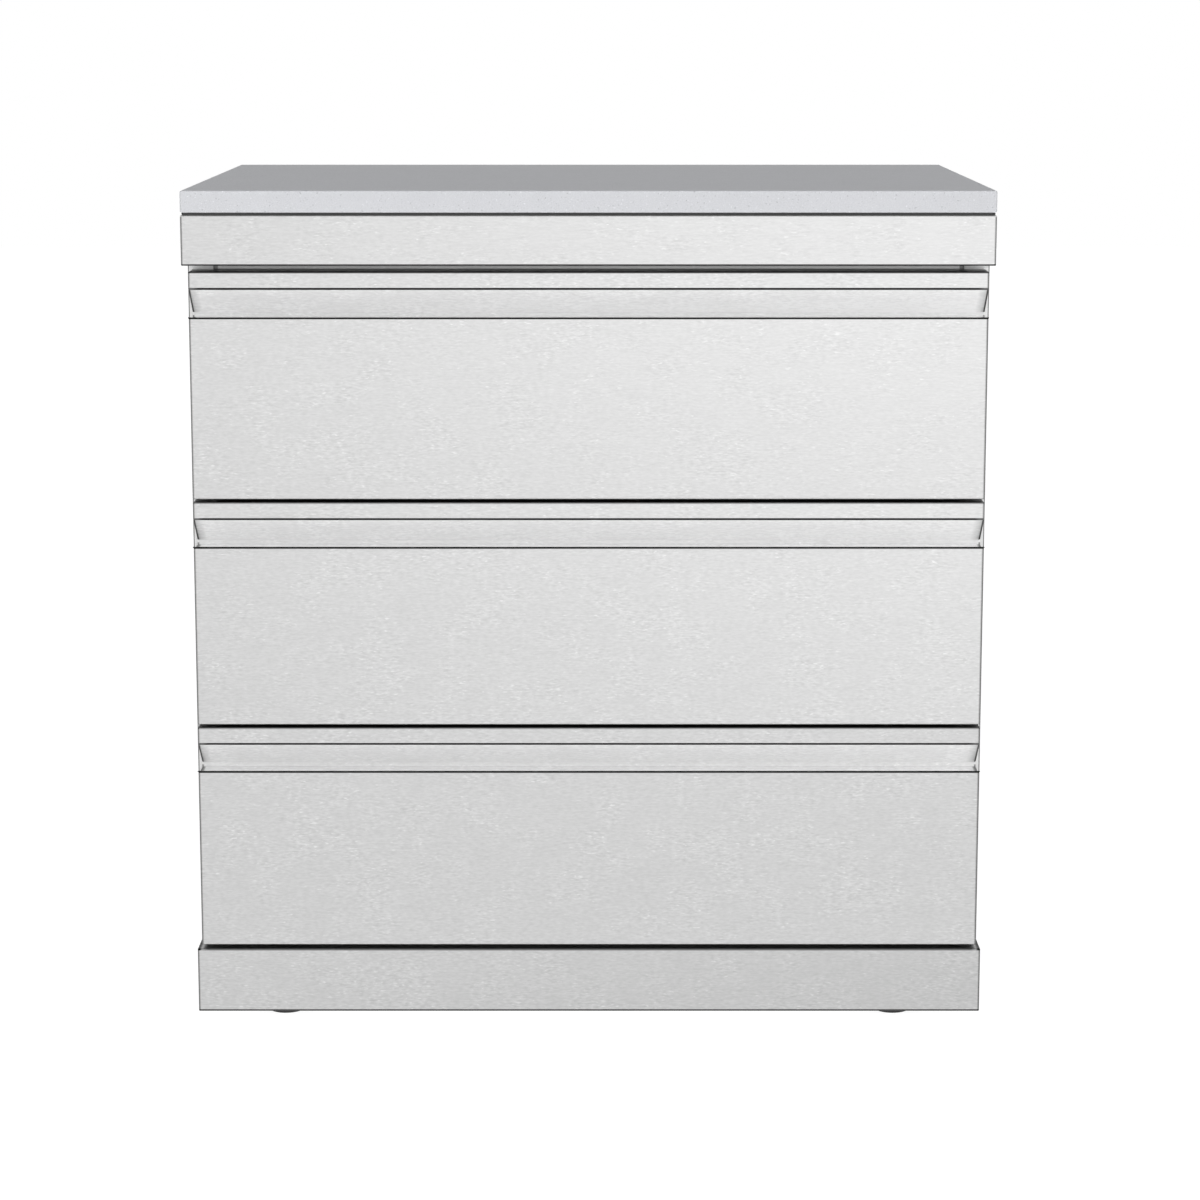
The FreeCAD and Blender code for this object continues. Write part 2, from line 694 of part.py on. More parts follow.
for thing in doc.Objects:
    if "Invalid" in thing.State or "Error" in thing.State:
        raise ValueError(f"{thing.Label} failed: {thing.State}")
os.makedirs("parts", exist_ok=True)
for piece in pieces:
    if piece.Shape.isNull() or not piece.Shape.isValid():
        raise ValueError(f"{piece.Label} has no valid shape")
    piece.Shape.exportStep(f"parts/{piece.Label}.step")
print(len(pieces), "pieces written")
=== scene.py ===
import json
import math

import bpy
import numpy as np
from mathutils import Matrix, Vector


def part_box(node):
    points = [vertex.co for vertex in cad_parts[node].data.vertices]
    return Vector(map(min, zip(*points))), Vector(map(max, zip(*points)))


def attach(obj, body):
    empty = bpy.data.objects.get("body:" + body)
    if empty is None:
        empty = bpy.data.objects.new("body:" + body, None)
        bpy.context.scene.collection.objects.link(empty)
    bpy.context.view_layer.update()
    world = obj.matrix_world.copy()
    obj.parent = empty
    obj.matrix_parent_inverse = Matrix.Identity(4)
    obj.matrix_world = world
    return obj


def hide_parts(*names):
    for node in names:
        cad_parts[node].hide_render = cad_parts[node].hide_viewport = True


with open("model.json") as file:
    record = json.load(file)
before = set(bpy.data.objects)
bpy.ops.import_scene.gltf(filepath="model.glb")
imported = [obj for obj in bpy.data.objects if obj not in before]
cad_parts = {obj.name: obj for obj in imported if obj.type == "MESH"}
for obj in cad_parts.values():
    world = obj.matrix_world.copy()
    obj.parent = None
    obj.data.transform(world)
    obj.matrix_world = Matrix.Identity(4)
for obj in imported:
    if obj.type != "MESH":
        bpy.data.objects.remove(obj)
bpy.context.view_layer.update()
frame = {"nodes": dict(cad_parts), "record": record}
print("frame loaded:", len(frame["nodes"]), "nodes")

# An outdoor kitchen drawer unit in brushed steel. X runs across it, the fronts face -Y, Z is up, in metres.
mm = 0.001
drawerNumbers = (1, 2, 3)
sideSigns = {"left": -1, "right": 1}

sheetMetal = {
    "thick": 1.1 * mm,      # wall of a folded piece
    "fold": 1.8 * mm,       # outer radius of a fold
    "endRound": 1.0 * mm,   # rounding of a closed end
    "endInset": 0.08 * mm,  # further inset of a closed end's flat face
    "arcSteps": 7,          # points along one fold
    "supports": (0.5 * mm, 1.5 * mm, 4 * mm, 10 * mm),  # extra points beside a fold
}
channelRadii = [0, sheetMetal["fold"], sheetMetal["fold"], 0]      # of a sheet with two folds


# shapes

def unit(vector):
    return vector / np.linalg.norm(vector)


def foldedLine(corners, radii, folds=None, runs=None, closed=False):
    # A chain of straight runs joined by arcs. Each arc's centre lies one radius to the inner side of both
    # runs; a point of the arc is the centre minus the radius times the normal turned by a share of the bend.
    # Support points lie on the runs at fixed distances from the arcs. The painted light is a share of the
    # steel's colour, painted shade below one and painted light above: one number for each arc (folds) and two
    # for each run (runs), at its start and its end. run numbers the run that a point lies on, and an arc has
    # the number half-way between its two runs.
    corners = np.array(corners, float)
    count = len(corners)
    folds, runs = folds or {}, runs or {}
    arcs = []
    for i in range(count):
        if not closed and i in (0, count - 1):
            arcs.append((corners[i], corners[i], None))
            continue
        before = unit(corners[i] - corners[i - 1])
        after = unit(corners[(i + 1) % count] - corners[i])
        turn = math.atan2(before[0] * after[1] - before[1] * after[0], before @ after)
        reach = radii[i] * math.tan(abs(turn) / 2)
        arcs.append((corners[i] - before * reach, corners[i] + after * reach, (before, turn)))
    points, normals, paintedLights, owners = [], [], [], []
    for i in range(count):
        start, end, bend = arcs[i]
        if bend is not None:
            before, turn = bend
            share = np.linspace(0, 1, sheetMetal["arcSteps"])
            angle = turn * share
            left = np.array([-before[1], before[0]])
            turned = np.stack([left[0] * np.cos(angle) - left[1] * np.sin(angle),
                               left[0] * np.sin(angle) + left[1] * np.cos(angle)], axis=1)
            sign = math.copysign(1, turn)
            centre = start + sign * radii[i] * left
            points.append(centre - sign * radii[i] * turned)
            normals.append(-turned)
            between = [runs.get((i - 1) % count, (1, 1))[1], runs.get(i, (1, 1))[0]]
            paintedLights.append(np.full(len(angle), folds[i]) if i in folds else np.interp(share, [0, 1], between))
            owners.append(np.full(len(angle), i - 0.5))
        if not closed and i == count - 1:
            run = arcs[i][0] - arcs[i - 1][1]
            points.append(arcs[i][0][None])
            normals.append(np.array([[run[1], -run[0]]]) / np.linalg.norm(run))
            paintedLights.append(np.array([runs.get(i - 1, (1, 1))[1]]))
            owners.append(np.array([i - 1.0]))
            break
        run = arcs[(i + 1) % count][0] - end
        length = np.linalg.norm(run)
        near = np.array([s for s in sheetMetal["supports"] if s < 0.45 * length])    # clear of the middle
        share = np.concatenate([near, [0.5 * length], length - near[::-1]]) / length
        if bend is None:
            share = np.concatenate([[0.0], share])
        points.append(end + run[None] * share[:, None])
        normals.append(np.tile(np.array([run[1], -run[0]]) / length, (len(share), 1)))
        paintedLights.append(np.interp(share, [0, 1], runs.get(i, (1, 1))))
        owners.append(np.full(len(share), float(i)))
    return {"points": np.concatenate(points), "normals": np.concatenate(normals),
            "paintedLight": np.concatenate(paintedLights), "run": np.concatenate(owners), "closed": closed}


def stations(low, high, rounding, caps=True):
    # Places along the length of a carried line, their inset and their distance from the nearer end. At a
    # closed end the line is drawn in along its normals by the rounding times one minus the sine, while it
    # advances by the rounding times one minus the cosine.
    quarter = np.linspace(0, math.pi / 2, sheetMetal["arcSteps"])
    near = np.array(sheetMetal["supports"])
    if caps:
        flat = rounding + sheetMetal["endInset"]
        place = np.concatenate([[0.0], rounding * (1 - np.cos(quarter)), rounding + near])
        inset = np.concatenate([[flat], rounding * (1 - np.sin(quarter)), 0 * near])
    else:
        place = np.concatenate([[0.0], near])
        inset = 0 * place
    return (np.concatenate([low + place, high - place[::-1]]), np.concatenate([inset, inset[::-1]]),
            np.concatenate([place, place[::-1]]))


def steps(distance, profile):
    # The painted light at a distance, read between the listed pairs of distance and painted light
    return np.interp(distance, [place for place, level in profile], [level for place, level in profile])


def across(place, shares):
    # A share of the painted light that changes evenly from the left end to the right one
    return np.interp(place, [place[0], place[-1]], shares)


def gridQuads(rows, columns, roundRows=False, roundColumns=False):
    # The faces between neighbouring points of a grid. A round direction joins its last points to its first.
    index = np.arange(rows * columns).reshape(rows, columns)
    if roundRows:
        index = np.concatenate([index, index[:1]])
    if roundColumns:
        index = np.concatenate([index, index[:, :1]], axis=1)
    return np.stack([index[:-1, :-1], index[:-1, 1:], index[1:, 1:], index[1:, :-1]], axis=-1).reshape(-1, 4)


def carried(line, along, axis, caps=True, endPaintedLight=1.0):
    # The line carried along an axis: a point is the line's point minus the station's inset times the line's
    # normal, at the station's place on the axis. The painted light is the line's own times the end's. Each
    # closed end is filled with one flat face on its own copy of the last points, without painted light.
    place, inset = along[:2]
    flat = line["points"][:, None, :] - inset[None, :, None] * line["normals"][:, None, :]
    if line["closed"]:     # a rounded rectangle, which stays within itself when it is drawn in
        lowest, highest = line["points"].min(0), line["points"].max(0)
        flat = np.clip(flat, lowest + inset[None, :, None], highest - inset[None, :, None])
    rows, columns = flat.shape[:2]
    others = [k for k in range(3) if k != axis]
    points = np.empty((rows, columns, 3))
    points[:, :, others[0]] = flat[:, :, 0]
    points[:, :, others[1]] = flat[:, :, 1]
    points[:, :, axis] = place[None, :]
    paintedLights = np.broadcast_to(line["paintedLight"][:, None] * endPaintedLight, (rows, columns)).ravel()
    quads = gridQuads(rows, columns, roundRows=line["closed"])
    if not caps:
        return points.reshape(-1, 3), quads, [], paintedLights
    first = rows * columns
    ends = [list(range(first, first + rows)), list(range(first + 2 * rows - 1, first + rows - 1, -1))]
    paintedLights = np.concatenate([paintedLights, np.ones(2 * rows)])
    return np.concatenate([points.reshape(-1, 3), points[:, 0], points[:, -1]]), quads, ends, paintedLights


def joined(parts):
    # Several surfaces as one: the points one after another, the faces counted on.
    points, quads, ends, paintedLights = [], [], [], []
    first = 0
    for somePoints, someQuads, someEnds, somePaintedLights in parts:
        points.append(somePoints)
        quads.append(someQuads + first)
        ends += [[first + i for i in end] for end in someEnds]
        paintedLights.append(somePaintedLights)
        first += len(somePoints)
    return np.concatenate(points), np.concatenate(quads), ends, np.concatenate(paintedLights)


def facedOut(surface):
    # The faces turned so that their normals point away from the middle, judged by the enclosed volume.
    points, quads, ends, paintedLights = surface
    middle = (points.min(0) + points.max(0)) / 2
    a, b, c, d = (points[quads[:, k]] - middle for k in range(4))
    volume = np.einsum("ij,ij->", a, np.cross(b, c)) + np.einsum("ij,ij->", a, np.cross(c, d))
    if volume < 0:
        quads = quads[:, ::-1]
        ends = [end[::-1] for end in ends]
    return points, quads, ends, paintedLights


def openSheet(corners, radii, low, high, axis, folds=None, runs=None):
    # A folded sheet with open ends: a line carried between two places on an axis
    line = foldedLine(corners, radii, folds, runs)
    return facedOut(carried(line, stations(low, high, 0, caps=False), axis, caps=False))


def block(low, high, axis, radius):
    # A block with rounded edges: a rounded rectangle carried along an axis
    first, second = (k for k in range(3) if k != axis)
    corners = [(low[first], low[second]), (high[first], low[second]), (high[first], high[second]),
               (low[first], high[second])]
    line = foldedLine(corners, [radius] * 4, closed=True)
    return facedOut(carried(line, stations(low[axis], high[axis], radius), axis))


def rings(points):
    # Rings of points joined to one surface, which a flat face closes at both ends
    rows, turns = points.shape[:2]
    last = (rows - 1) * turns
    ends = [list(range(turns))[::-1], list(range(last, last + turns))]
    quads = gridQuads(rows, turns, roundColumns=True)
    return facedOut((points.reshape(-1, 3), quads, ends, np.ones(rows * turns)))


def lathe(outline, centre, turns, axis=2, sign=1, lobes=0.0):
    # A line of radius and height turned about an axis. Six lobes make the radius vary by their share with the
    # cosine of six times the angle.
    angle = np.linspace(0, 2 * math.pi, turns, endpoint=False)
    radius = outline[:, :1] * (1 + np.reshape(lobes, (-1, 1)) * np.cos(6 * angle))
    first, second = (k for k in range(3) if k != axis)
    points = np.empty((len(outline), turns, 3))
    points[:, :, first] = centre[first] + radius * np.cos(angle)
    points[:, :, second] = centre[second] + radius * np.sin(angle)
    points[:, :, axis] = centre[axis] + sign * outline[:, 1:2]
    return rings(points)


def meshObject(name, surface, material, body, replaces=(), thick=0.0):
    # One piece of the unit. Its faces are smooth but for the flat ends, and a thick piece has its wall grown
    # inward from the surface.
    points, quads, ends, paintedLights = surface
    mesh = bpy.data.meshes.new(name)
    mesh.from_pydata(points.tolist(), [], quads.tolist() + ends)
    mesh.polygons.foreach_set("use_smooth", np.arange(len(mesh.polygons)) < len(quads))
    # the painted light and shade goes on the points, and the steel's colour is multiplied by it
    paintedLight = mesh.attributes.new("paintedLight", "FLOAT", "POINT")
    paintedLight.data.foreach_set("value", paintedLights.astype(np.float32))
    mesh.materials.append(material)
    mesh.update()
    piece = bpy.data.objects.new(name, mesh)
    bpy.context.scene.collection.objects.link(piece)
    if thick:
        wall = piece.modifiers.new("wall", "SOLIDIFY")
        wall.thickness = thick
        wall.offset = -1
        wall.use_rim = True
    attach(piece, body)
    if replaces:
        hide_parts(*replaces)
    return piece


# materials

class Wire:
    # An output socket of a material's nodes. Arithmetic on it adds Math nodes.
    def __init__(self, paint, socket):
        self.paint = paint
        self.socket = socket

    def worked(self, operation, first, second):
        return self.paint.add("ShaderNodeMath", {"operation": operation}, {0: first, 1: second})

    def __add__(self, other):
        return self.worked("ADD", self, other)

    def __radd__(self, other):
        return self.worked("ADD", other, self)

    def __sub__(self, other):
        return self.worked("SUBTRACT", self, other)

    def __rsub__(self, other):
        return self.worked("SUBTRACT", other, self)

    def __mul__(self, other):
        return self.worked("MULTIPLY", self, other)

    def __rmul__(self, other):
        return self.worked("MULTIPLY", other, self)


class Paint:
    # The nodes of a material or of the world, added one by one.
    def __init__(self, owner):
        self.owner = owner
        owner.use_nodes = True
        self.tree = owner.node_tree
        self.tree.nodes.clear()

    def add(self, kind, settings, inputs, output=0):
        node = self.tree.nodes.new(kind)
        for key, value in settings.items():
            setattr(node, key, value)
        for key, value in inputs.items():
            if isinstance(value, Wire):
                self.tree.links.new(value.socket, node.inputs[key])
            else:
                node.inputs[key].default_value = value
        return Wire(self, node.outputs[output]) if len(node.outputs) else None

    def place(self, *scale):
        # Object coordinates, stretched by a scale for each axis
        here = self.add("ShaderNodeTexCoord", {}, {}, "Object")
        return self.add("ShaderNodeMapping", {}, {"Vector": here, "Scale": scale})

    def noise(self, scale, detail=2.0, rough=0.5, seed=0.0):
        # Noise in four directions, of which the last is the seed
        return self.add("ShaderNodeTexNoise", {"noise_dimensions": "4D"},
                        {"Vector": self.place(*scale), "W": seed, "Scale": 1.0, "Detail": detail,
                         "Roughness": rough})

    def between(self, value, low, high):
        # Nought below low and one above high, with a smooth step
        return self.add("ShaderNodeMapRange", {"interpolation_type": "SMOOTHSTEP"},
                        {"Value": value, "From Min": low, "From Max": high, "To Min": 0.0, "To Max": 1.0})

    def blend(self, factor, first, second):
        # Sockets 6 and 7 and output 2 are the colours of the node
        return self.add("ShaderNodeMix", {"data_type": "RGBA"}, {0: factor, 6: first, 7: second}, 2)

    def bump(self, height, strength, distance):
        return self.add("ShaderNodeBump", {}, {"Height": height, "Strength": strength, "Distance": distance})

    def finish(self, inputs):
        shader = self.add("ShaderNodeBsdfPrincipled", {}, inputs)
        self.add("ShaderNodeOutputMaterial", {}, {"Surface": shader})
        return self.owner

    def seen(self):
        # One for rays that see the background: from the camera, a glossy surface or glass
        camera, glossy, glass = (self.add("ShaderNodeLightPath", {}, {}, f"Is {kind} Ray")
                                 for kind in ("Camera", "Glossy", "Transmission"))
        either = camera.worked("MAXIMUM", camera, glossy)
        return camera.worked("MAXIMUM", either, glass)


def newPaint(name):
    return Paint(bpy.data.materials.new(name))


def grey(level):
    return (level, level, level, 1)


brushed = {
    "dark": 0.43,            # base colour of the darkest grain, linear
    "light": 0.65,           # and of the lightest
    "roughness": 0.42,
    "matt": 0.45,            # roughness added where the painted light is twice the plain one
    "calm": 0.6,             # share of the grain that is lost where the painted light is twice the plain one
    "brightest": 0.97,       # highest base colour that the painted light may give
    "grain": (165, 165, 560),     # grain per metre along the brushing and across it
    "scratch": (50, 50, 640),
    "cloud": (26, 26, 34),
    "fleck": (175, 175, 640),
    "patchRange": (0.40, 0.66),   # heights of the clouds between which a patch begins and is full
    "fleckRange": (0.62, 0.80),   # and those of its noise at which a fleck does
    "plain": 0.46,                # share of the lightest grey without any marks
    "grainShare": (0.8, 0.75),    # what the marks add: the first number everywhere, the second in patches
    "fleckShare": (0.26, 0.7),
    "scratchShare": 0.4,
    "cloudShare": 0.15,
    "roughGrain": 0.16,           # how much the grain and the clouds change the roughness
    "roughCloud": 0.08,
    "scratchRelief": 0.4,         # share of the scratches in the relief, the rest being the grain's
    "bump": 0.04,
    "bumpDepth": 0.2 * mm,
}


def brushedSteel(name, values, readsPaintedLight=True):
    # Base colour is a grey between dark and light, times the painted light and shade that the surface
    # carries.
    # Its share is the sum of a short grain, stronger in some patches, longer scratches, faint clouds, and
    # bright flecks that gather in the same patches. All of it is calmer, and the surface more matt, where the
    # painted light is above 1.
    paint = newPaint(name)
    grain = paint.noise(values["grain"])
    scratch = paint.noise(values["scratch"], detail=3.0, rough=0.6, seed=3.0)
    cloud = paint.noise(values["cloud"], seed=7.0)
    patch = paint.between(cloud, *values["patchRange"])
    fleck = paint.noise(values["fleck"], detail=1.0, rough=0.4, seed=11.0)
    fleck = paint.between(fleck, *values["fleckRange"])
    grainPlain, grainPatch = values["grainShare"]
    fleckPlain, fleckPatch = values["fleckShare"]
    marks = ((grain - 0.5) * (patch * grainPatch + grainPlain) + (scratch - 0.5) * values["scratchShare"]
             + (cloud - 0.5) * values["cloudShare"] + fleck * (patch * fleckPatch + fleckPlain))
    roughness = (values["roughness"] + (grain - 0.5) * values["roughGrain"]
                 + (cloud - 0.5) * values["roughCloud"])
    if readsPaintedLight:
        paintedLight = paint.add("ShaderNodeAttribute", {"attribute_name": "paintedLight"}, {}, "Fac")
        paintedLightAbove = paintedLight.worked("MAXIMUM", paintedLight - 1, 0)
        marks = marks * (1 - paintedLightAbove * values["calm"])
        roughness = roughness + paintedLightAbove * values["matt"]
    colour = paint.blend(values["plain"] + marks, grey(values["dark"]), grey(values["light"]))
    if readsPaintedLight:
        limit = (values["brightest"],) * 3
        colour = paint.add("ShaderNodeVectorMath", {"operation": "MULTIPLY"}, {0: colour, 1: paintedLight})
        colour = paint.add("ShaderNodeVectorMath", {"operation": "MINIMUM"}, {0: colour, 1: limit})
    height = grain * (1 - values["scratchRelief"]) + scratch * values["scratchRelief"]
    return paint.finish({"Base Color": colour, "Metallic": 1.0, "Roughness": roughness,
                         "Normal": paint.bump(height, values["bump"], values["bumpDepth"])})


stone = {
    "dark": (0.34, 0.345, 0.36, 1),
    "light": (0.68, 0.687, 0.713, 1),
    "grain": (900, 900, 900),      # fine grains per metre
    "patch": (30, 30, 30),
    "darkSpeck": (520, 520, 520),
    "paleSpeck": (480, 480, 480),
    "darkRange": (0.675, 0.755),   # heights of its noise between which a speck begins and is full
    "paleRange": (0.64, 0.76),
    "plain": 0.55,                 # share of the light colour without any marks
    "shares": {"grain": 0.8, "patch": 0.1, "dark": 0.7, "pale": 0.45},
    "roughness": 0.62,
    "specular": 0.15,
    "bump": 0.12,
    "bumpDepth": 0.15 * mm,
}


def stoneSlab(name, values):
    # The colour lies between dark and light by fine grains, with sparse darker and paler specks
    paint = newPaint(name)
    shares = values["shares"]
    grain = paint.noise(values["grain"], detail=3.0, rough=0.6)
    patch = paint.noise(values["patch"], seed=5.0)
    darkSpeck = paint.between(paint.noise(values["darkSpeck"], detail=1.0, seed=9.0), *values["darkRange"])
    paleSpeck = paint.between(paint.noise(values["paleSpeck"], detail=1.0, seed=13.0), *values["paleRange"])
    share = (values["plain"] + (grain - 0.5) * shares["grain"] + (patch - 0.5) * shares["patch"]
             - darkSpeck * shares["dark"] + paleSpeck * shares["pale"])
    colour = paint.blend(share, values["dark"], values["light"])
    return paint.finish({"Base Color": colour, "Roughness": values["roughness"],
                         "Specular IOR Level": values["specular"],
                         "Normal": paint.bump(grain, values["bump"], values["bumpDepth"])})


fineFinish = {
    "wide": (9, 9, 9),        # slow change over the piece, per metre
    "grainShare": 0.9,
    "wideShare": 0.6,
    "roughGrain": 0.2,
    "bumpDepth": 0.2 * mm,
    # of each material: its darkest and lightest colour, metal or not, roughness, grain per metre, bump
    "millSteel": (grey(0.38), grey(0.55), 1.0, 0.34, (90, 500, 500), 0.05),
    "zincPlate": ((0.42, 0.43, 0.46, 1), (0.60, 0.61, 0.64, 1), 1.0, 0.30, (260, 260, 260), 0.05),
    "blackRubber": (grey(0.028), grey(0.056), 0.0, 0.75, (700, 700, 700), 0.2),
    "blackPlastic": (grey(0.006), grey(0.014), 0.0, 0.55, (1500, 1500, 1500), 0.15),
}


def fineGrained(name, values):
    # Colour, roughness and relief vary with one fine noise, and the colour with a wide one too
    low, high, metallic, roughness, scale, bump = values[name]
    paint = newPaint(name)
    grain = paint.noise(scale, detail=3.0, rough=0.6)
    wide = paint.noise(values["wide"], seed=4.0)
    share = 0.5 + (grain - 0.5) * values["grainShare"] + (wide - 0.5) * values["wideShare"]
    colour = paint.blend(share, low, high)
    return paint.finish({"Base Color": colour, "Metallic": metallic,
                         "Roughness": roughness + (grain - 0.5) * values["roughGrain"],
                         "Normal": paint.bump(grain, bump, values["bumpDepth"])})


# the first steel takes the painted light and shade of its pieces; the flat one takes none
paintedLightSteel = brushedSteel("brushedSteel", brushed)
flatSteelFinish = brushedSteel("brushedSteelFlat", brushed, readsPaintedLight=False)
slabFinish = stoneSlab("paleStone", stone)
innerFinish, zincFinish, rubberFinish, plasticFinish = (
    fineGrained(name, fineFinish) for name in ("millSteel", "zincPlate", "blackRubber", "blackPlastic"))
slotFinish = {"slab": slabFinish, "brushed": flatSteelFinish, "plain_steel": innerFinish, "zinc": zincFinish,
              "black_rubber": rubberFinish, "black_plastic": plasticFinish}
print("materials made")


# the carried-over nodes take the finish of their slot

for subpart in frame["record"]["subparts"]:
    node = frame["nodes"][subpart["node"]]
    node.data.materials.clear()
    node.data.materials.append(slotFinish[subpart["material_slot"]])


# drawer fronts

drawerSkin = {
    "strip": 18.35 * mm,        # flat strip above the grip, with its hem
    "mouth": 30.2 * mm,         # open height of the grip at the front
    "floor": 32.75 * mm,        # floor of the grip below the strip
    "run": 36.4 * mm,           # depth of the grip
    "drop": 28.25 * mm,         # fall of the slope over that depth
    "hem": 2.4 * mm,            # thickness of the folded lip
    # radii that differ from the sheet's fold: at the top, under the strip and at three corners of the hem
    "radii": {1: 1.26 * mm, 2: 2.43 * mm, 5: 0.54 * mm, 6: 0.6 * mm, 7: 1.68 * mm},
    # painted shade of the folds under the strip, at the hem and the lip, which gives dark lines, and a little
    # painted light on the bottom fold
    "folds": {2: 0.03, 6: 0.08, 7: 0.04, 8: 1.05},
    # and of the runs: slope, back of the grip, its floor, hem, bottom flange; painted light lifts the grip to
    # the panel's brightness, and painted shade darkens the bottom flange in the gap below
    "runs": {2: (1.7, 1.8), 3: (1.45, 1.4), 4: (1.75, 1.75), 5: (1.2, 1.2), 8: (0.35, 0.15)},
    # the same for the top fold and the top flange, by drawer: painted shade in the gap above each front
    "topFold": {1: 0.35, 2: 0.52, 3: 0.52},
    "topFlange": {1: (0.8, 0.01), 2: (0.7, 0.14), 3: (0.7, 0.14)},
    # share of the painted light by the distance from an end: painted shade as a dark outline along each end
    "ends": ((0, 0.3), (1.1 * mm, 0.3), (2.2 * mm, 1.0)),
    # and the same for the fold under the strip, whose dark line is lighter near the ends, the slope, with a
    # dark line at its end and a painted shadow beside it, the fold behind it, the grip's back and its floor,
    # in painted shade at the ends
    "runEnds": {
        1.5: ((0, 8.0), (5 * mm, 8.0), (9 * mm, 1.0)),
        2: ((0, 0.05), (1.6 * mm, 0.05), (2.6 * mm, 0.8), (11 * mm, 1.0)),
        2.5: ((0, 1.0),),
        3: ((0, 1.0),),
        4: ((0, 0.25), (2.6 * mm, 0.25), (5 * mm, 1.0)),
    },
    # share of the painted light at the left and right end, by drawer, changing evenly between them: in the
    # grip, and on the faces
    "gripPaintedLightAcross": {1: (0.968, 1.02), 2: (0.96, 1.003), 3: (0.942, 0.981)},
    "facePaintedLightAcross": {1: (0.985, 0.975), 2: (1.0, 1.02), 3: (1.0, 0.965)},
}


def drawerFront(number):
    # Section from the top's back edge over the strip, the slope, the grip's floor, the hem and the panel
    values = drawerSkin
    low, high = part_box(f"drawer_front_{number}")
    front, back, bottom, top = low.y, high.y, low.z, high.z
    stripEnd = top - values["strip"]
    floor = stripEnd - values["floor"]
    lip = stripEnd - values["mouth"]
    deep = front + values["run"]
    hem = front + values["hem"]
    corners = [(back, top), (front, top), (front, stripEnd), (deep, stripEnd - values["drop"]), (deep, floor),
               (hem, floor), (hem, lip), (front, lip), (front, bottom), (back, bottom)]
    radii = [0] + [values["radii"].get(corner, sheetMetal["fold"]) for corner in range(1, 9)] + [0]
    folds = {1: values["topFold"][number], **values["folds"]}
    runs = {0: values["topFlange"][number], **values["runs"]}
    line = foldedLine(corners, radii, folds, runs)
    along = stations(low.x, high.x, sheetMetal["endRound"])
    # painted shade along the ends, and painted light that changes from the left end to the right
    endPaintedLight = np.tile(steps(along[2], values["ends"]), (len(line["run"]), 1))
    for run, ends in values["runEnds"].items():
        endPaintedLight[line["run"] == run] = steps(along[2], ends)
    inGrip = (line["run"] >= 2) & (line["run"] <= 4)
    endPaintedLight[inGrip] *= across(along[0], values["gripPaintedLightAcross"][number])
    endPaintedLight[~inGrip] *= across(along[0], values["facePaintedLightAcross"][number])
    surface = facedOut(carried(line, along, 0, endPaintedLight=endPaintedLight))
    return meshObject(f"frontSkin{number}", surface, paintedLightSteel, f"drawer_{number}",
                      [f"drawer_front_{number}"], sheetMetal["thick"])


for number in drawerNumbers:
    drawerFront(number)
print("drawer fronts made")


# fascia, plinth and slab

fasciaSkin = {
    "folds": {1: 0.9, 2: 0.05},                # painted shade of the upper and the lower fold, a dark line along the lower
    "runs": {1: (0.96, 0.96), 2: (0.3, 0.3)},  # and of the top flange (0), the face and the lower flange, in painted shade in the gap below
    "ends": ((0, 0.3), (1.1 * mm, 0.3), (2.2 * mm, 1.0)),      # their share by the distance from an end: a painted dark outline
    "topEnds": ((0, 1.0),),                    # and that of the top flange and its fold: on the plinth, painted shade at the ends and a painted highlight
    "across": (1.0, 0.99),                     # and painted light, as their share at the left and the right end
    "topFold": 1.3 * mm,
    "bottomFold": 1.4 * mm,
    "below": 0,                                # how far the lower edge hangs below the node's
}
# the plinth: painted shade on its folds and top ledge in the gap, darker towards the bottom of the face, and
# painted light falling from the left end to the right
plinthSkin = {
    "folds": {1: 0.25, 2: 0.1},
    "runs": {0: (0.5, 0.4), 1: (0.95, 0.90)},
    "ends": ((0, 0.3), (1.1 * mm, 0.3), (2.2 * mm, 1.0)),
    "topEnds": ((0, 0.02), (3.2 * mm, 0.02), (4.2 * mm, 2.5), (11 * mm, 1.0)),
    "across": (1.04, 0.94),
    "topFold": 1.8 * mm,
    "bottomFold": 2.1 * mm,
    "below": 0.35 * mm,
}


def crossBand(name, node, values):
    # A tray as wide as the unit, open at the back: top flange, face and bottom flange, closed ends
    low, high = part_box(node)
    bottom = low.z - values["below"]
    corners = [(high.y, high.z), (low.y, high.z), (low.y, bottom), (high.y, bottom)]
    radii = [0, values["topFold"], values["bottomFold"], 0]
    line = foldedLine(corners, radii, values["folds"], values["runs"])
    along = stations(low.x, high.x, sheetMetal["endRound"])
    # painted shade along the ends, its own painted shade and highlight on the top flange's ends, and painted
    # light changing from left to right
    endPaintedLight = np.tile(steps(along[2], values["ends"]), (len(line["run"]), 1))
    endPaintedLight[line["run"] <= 0.5] = steps(along[2], values["topEnds"])     # the top flange and its fold
    endPaintedLight *= across(along[0], values["across"])
    surface = facedOut(carried(line, along, 0, endPaintedLight=endPaintedLight))
    return meshObject(name, surface, paintedLightSteel, "cabinet", [node], sheetMetal["thick"])


railSkin = {
    "notch": 4.8 * mm,          # corner notch at each end of the face
    "notchDepth": 2.5 * mm,     # how far back the sheet seen through the notch lies
    "notchPaintedShade": 0.35,          # painted shade on that sheet
    "notchMargin": 3 * mm,      # height of face left above and below a notch
    "backing": 6,               # length of the sheet behind a notch, in notches
    "flange": 40 * mm,          # depth of the top flange
    "lip": 16 * mm,             # and of the lower lip
    "shaded": 16 * mm,          # height above the lower edge up to which the face carries painted shade for the gap
    "shadeStep": 4 * mm,        # height over which the painted shade sets in
    "faceTones": (0.8, 1.5),    # painted shade in the gap, and painted light above it
}


